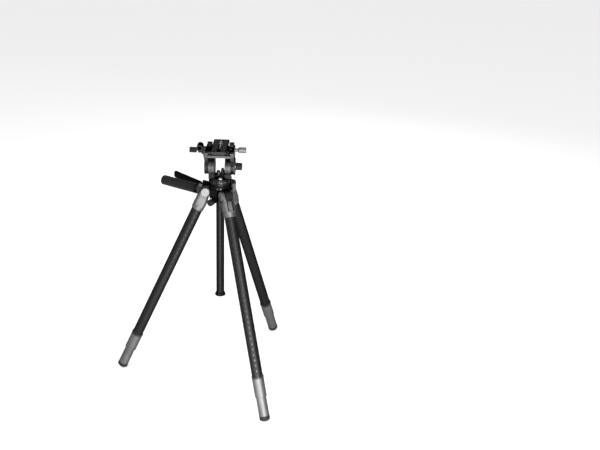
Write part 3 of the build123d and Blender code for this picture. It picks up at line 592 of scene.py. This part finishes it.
for side in SIDES:
    FINISH.update({f"{side}_leg_casting": leg_alloy[side], f"{side}_mid_collar": leg_alloy[side],
                   f"{side}_foot_sleeve": leg_alloy[side], f"{side}_upper_tube": weave[side],
                   f"{side}_mid_tube": weave[side], f"{side}_low_tube": weave[side],
                   f"{side}_stop_tab": knob_black, f"{side}_leg_seal": seal_black, f"{side}_foot": rubber})
    EDGE[f"{side}_leg_casting"] = 0.5
    EDGE[f"{side}_stop_tab"] = 0.4
for name, target in NODES.items():
    target.data.materials.clear()
    target.data.materials.append(FINISH[name])
    if name in EDGE:
        soften(target, EDGE[name], weld=True)

# ---------------------------------------------------------------- legs: panel screws and rubber feet
EAR_HALF = 19.5
SLEEVE_END, FOOT_TIP, FOOT_R, DOME_R = 726.8, 746.0, 17.8, 24.0
FOOT_GROOVES = (730.4, 733.4, 736.2)      # middles of the grooves, down the leg from its hinge
PANEL_SCREW_DOWN = 38.0
for side in SIDES:
    hinge, down, face, bolt = leg_frame(side)
    for label, way in (("a", 1), ("b", -1)):
        spot = hinge + down * PANEL_SCREW_DOWN * MM + bolt * way * (EAR_HALF - 1) * MM
        cap_screw(f"{side}_panel_screw_{label}", basis(spot, bolt * way, down), 3.6, 0.9, bright,
                  f"{side}_leg")
    half_angle = math.degrees(math.asin((FOOT_R - 1.2) / DOME_R))
    tread = arc((0, FOOT_TIP - DOME_R), DOME_R, 90 - half_angle, 90, 10)
    side_wall = [(0, SLEEVE_END), (16.6, SLEEVE_END), (17.0, SLEEVE_END + 0.5)]
    for groove in FOOT_GROOVES:
        side_wall += [(17.3, groove - 1.1), (17.3, groove - 0.5), (16.5, groove - 0.2),
                      (16.5, groove + 0.2), (17.4, groove + 0.5)]
    side_wall += [(FOOT_R, 737.4), (FOOT_R, 738.0)]
    outline = side_wall + tread[:-1] + [(0, FOOT_TIP)]
    tip = turned(f"{side}_rubber_foot", basis(hinge, down, face), outline, rubber, f"{side}_low_section",
                 64)
    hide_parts(f"{side}_foot")

# ---------------------------------------------------------------- crown screws
CROWN_R, CROWN_SCREW_Z = 38.0, 20.0
CROWN_SCREW_AZIMUTHS = (352, 8, 100, 116, 262, 278)
for k, azimuth in enumerate(CROWN_SCREW_AZIMUTHS):
    out = Vector((math.cos(math.radians(azimuth)), math.sin(math.radians(azimuth)), 0))
    cap_screw(f"crown_screw_{k + 1}", basis(at(0, 0, CROWN_SCREW_Z) + out * (CROWN_R - 0.1) * MM, out), 2.7,
              1.0, screw_dark, "crown")

# ---------------------------------------------------------------- foam grip on the release handle
grip_low, grip_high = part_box("handle_grip")
plunger_axis = Vector(JOINTS["plunger_push"]["axis"])
handle_out = Vector((0, 0, 1)).cross(plunger_axis) * -1
GRIP_R, GRIP_START, HANDLE_Z, HANDLE_SIDE = 16.3, 106.0, -20.0, -12.0
grip_span = (grip_high.x - grip_low.x) / MM - 2 * GRIP_R * abs(handle_out.y)
GRIP_END = GRIP_START + grip_span / abs(handle_out.x)
grip_root = at(0, 0, HANDLE_Z) + plunger_axis * HANDLE_SIDE * MM
end_round = 5.0
GRIP_RINGS = 40
foam_start = GRIP_START + 0.9
foam_step = (GRIP_END - end_round - foam_start) / GRIP_RINGS
grip_outline = [(0, GRIP_START + 0.02), (GRIP_R - 0.8, GRIP_START + 0.02), (GRIP_R, foam_start)]
grip_outline += [(GRIP_R, foam_start + k * foam_step) for k in range(1, GRIP_RINGS + 1)]
grip_outline += arc((GRIP_R - end_round, GRIP_END - end_round), end_round, 0, 90, 8)[1:]
grip_outline += [(7.2, GRIP_END), (6.8, GRIP_END - 0.5), (0, GRIP_END - 0.5)]
grip = turned("foam_grip", basis(grip_root, handle_out), grip_outline, foam, "handle", 96)
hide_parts("handle_grip")

FOLD_RADIUS, FOLD_Z, CHEEK_OUT = 80.0, -18.0, 14.0
fold_at = at(0, 0, FOLD_Z) + handle_out * FOLD_RADIUS * MM + plunger_axis * HANDLE_SIDE * MM
for label, way in (("a", 1), ("b", -1)):
    cap_screw(f"fold_pin_head_{label}", basis(fold_at + plunger_axis * way * (CHEEK_OUT + 0.5) * MM,
              plunger_axis * way), 5.4, 1.6, bright, "handle")
lever_at = Vector(JOINTS["lever_squeeze"]["pos_m"])
LEVER_LUG_TOP = -7.0
lever_head_at = Vector((lever_at.x, lever_at.y, HINGE_Z + LEVER_LUG_TOP * MM))
cap_screw("lever_pin_head", basis(lever_head_at, (0, 0, 1)), 4.2, 1.4, bright, "handle")

# ---------------------------------------------------------------- camera plate: ribbed pads, pin and screws
PLATE_TOP, PAD_TOP = 156.0, 156.9
pads_low, pads_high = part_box("plate_pads")
PAD_LENGTH = (pads_high.y - pads_low.y) / MM
PAD_OUT, PAD_WIDTH, RIB_PITCH = 14.0, 16.0, 2.4
for label, way in (("left", -1), ("right", 1)):
    pad = ridged_pad(f"ribbed_pad_{label}", at(way * PAD_OUT, 0, 0), PAD_WIDTH, PAD_LENGTH, PLATE_TOP - 0.2,
                     PAD_TOP, RIB_PITCH, pad_black, "plate")
    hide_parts("plate_pads")
SCREW_Y, PIN_Y = 18.0, 41.0                # the camera screw and the index pin, along the plate
STOP_SCREW_Y, STOP_SCREW_Z = -18.0, 152.6
collar_outline = [(3.7, 155.4), (5.7, 155.4), (5.7, 156.5), (5.2, 156.8), (3.7, 156.8)]
turned("screw_collar", basis(at(0, SCREW_Y, 0), (0, 0, 1)), collar_outline, bright, "plate",
       48, closed=True)
pin_outline = [(0, 150), (3.4, 150), (3.4, 155.7), (2.6, 156), (2.1, 156.2), (2.1, 158.2), (1.5, 158.9),
               (0, 158.9)]
turned("index_pin", basis(at(0, PIN_Y, 0), (0, 0, 1)), pin_outline, bright, "plate", 40)
cap_screw("plate_stop_screw", basis(at(0, STOP_SCREW_Y, STOP_SCREW_Z), (0, 0, 1)), 3.4, 3.0, bright, "plate")

# ---------------------------------------------------------------- fluid head fittings
WASHER_X = 48.4           # the outside of the right cover
washer_outline = [(5, 0), (9.4, 0), (10.4, 0.5), (10.4, 1.4), (9.8, 1.8), (5, 1.8)]
turned("tilt_knob_washer", basis(at(WASHER_X, 0, TILT_Z), across_way), washer_outline, bright, "cradle",
       64, closed=True)
COVER_SCREW_R = 21.0
COVERS = (("left", -49.5, -1), ("right", 48.0, 1))     # name, x of the outside face, way that it faces
for cover, start, way in COVERS:
    for k in range(4):
        angle = math.radians(45 + 90 * k)
        spot = at(start, COVER_SCREW_R * math.cos(angle), TILT_Z + COVER_SCREW_R * math.sin(angle))
        if cover == "left" and math.sin(angle) > 0:
            continue
        cap_screw(f"cover_screw_{cover}_{k + 1}", basis(spot, (way, 0, 0)), 2.6, 1.0, bright, "cradle")

ROSETTE_Z, ROSETTE_FACE = 139.0, -53.5
ROSETTE_TEETH, TOOTH_DEPTH = 32, 0.6


def toothed(count, depth):
    return lambda angle, radius, height: depth * abs(math.sin(angle * count / 2)) if radius > 12.9 else 0.0


rosette_rim = [(13.1, 0), (13.1, 1.6), (12, 2)]
turned("rosette_cradle", basis(at(ROSETTE_FACE, 0, ROSETTE_Z), (1, 0, 0)), [(9, 0)] + rosette_rim + [(9, 2)],
       black, "cradle", 192, toothed(ROSETTE_TEETH, TOOTH_DEPTH), True)
turned("rosette_clamp", basis(at(ROSETTE_FACE - 0.3, 0, ROSETTE_Z), (-1, 0, 0)),
       [(9.1, 0)] + rosette_rim + [(9.1, 2)], black, "panbar_clamp", 192,
       toothed(ROSETTE_TEETH, TOOTH_DEPTH), True)
DRAG_KNOB_X, DRAG_KNOB_TOP = 8.0, 79.3
DIAL_X, DIAL_Y, DIAL_R = -5.2, -2.5, 6.3
tip_outline = [(0, 0), (3.5, 0), (3.5, 0.5), (2.8, 0.9), (0, 0.9)]
turned("drag_knob_tip", basis(at(DRAG_KNOB_X, 0, DRAG_KNOB_TOP), (0, 0, 1)), tip_outline, pale_alloy,
       "drag_knob", 40)
dial_outline = [(0, 57), (DIAL_R, 57), (DIAL_R, 67.5)] + arc((0, 67.0), DIAL_R, 8, 90, 10)[:-1] + [(0, 73.3)]
turned("counter_dial", basis(at(DIAL_X, DIAL_Y, 0), (0, 0, 1)), dial_outline, olive, "pan", 48)
BUBBLE_X, BUBBLE_Y = 3.0, -27.0
RING_Z, TARGET_Z = 52.0, 53.6
ring_outline = [(5.7, 0), (7.9, 0), (7.9, 1.0), (7.3, 1.4), (6.1, 1.4), (5.7, 1.0)]
turned("level_ring", basis(at(BUBBLE_X, BUBBLE_Y, RING_Z), (0, 0, 1)), ring_outline, bright, "pan",
       64, closed=True)
target_outline = [(1.9, 0), (2.3, 0), (2.3, 0.25), (1.9, 0.3)]
turned("level_target", basis(at(BUBBLE_X, BUBBLE_Y, TARGET_Z), (0, 0, 1)), target_outline,
       seal_black, "pan", 40, closed=True)
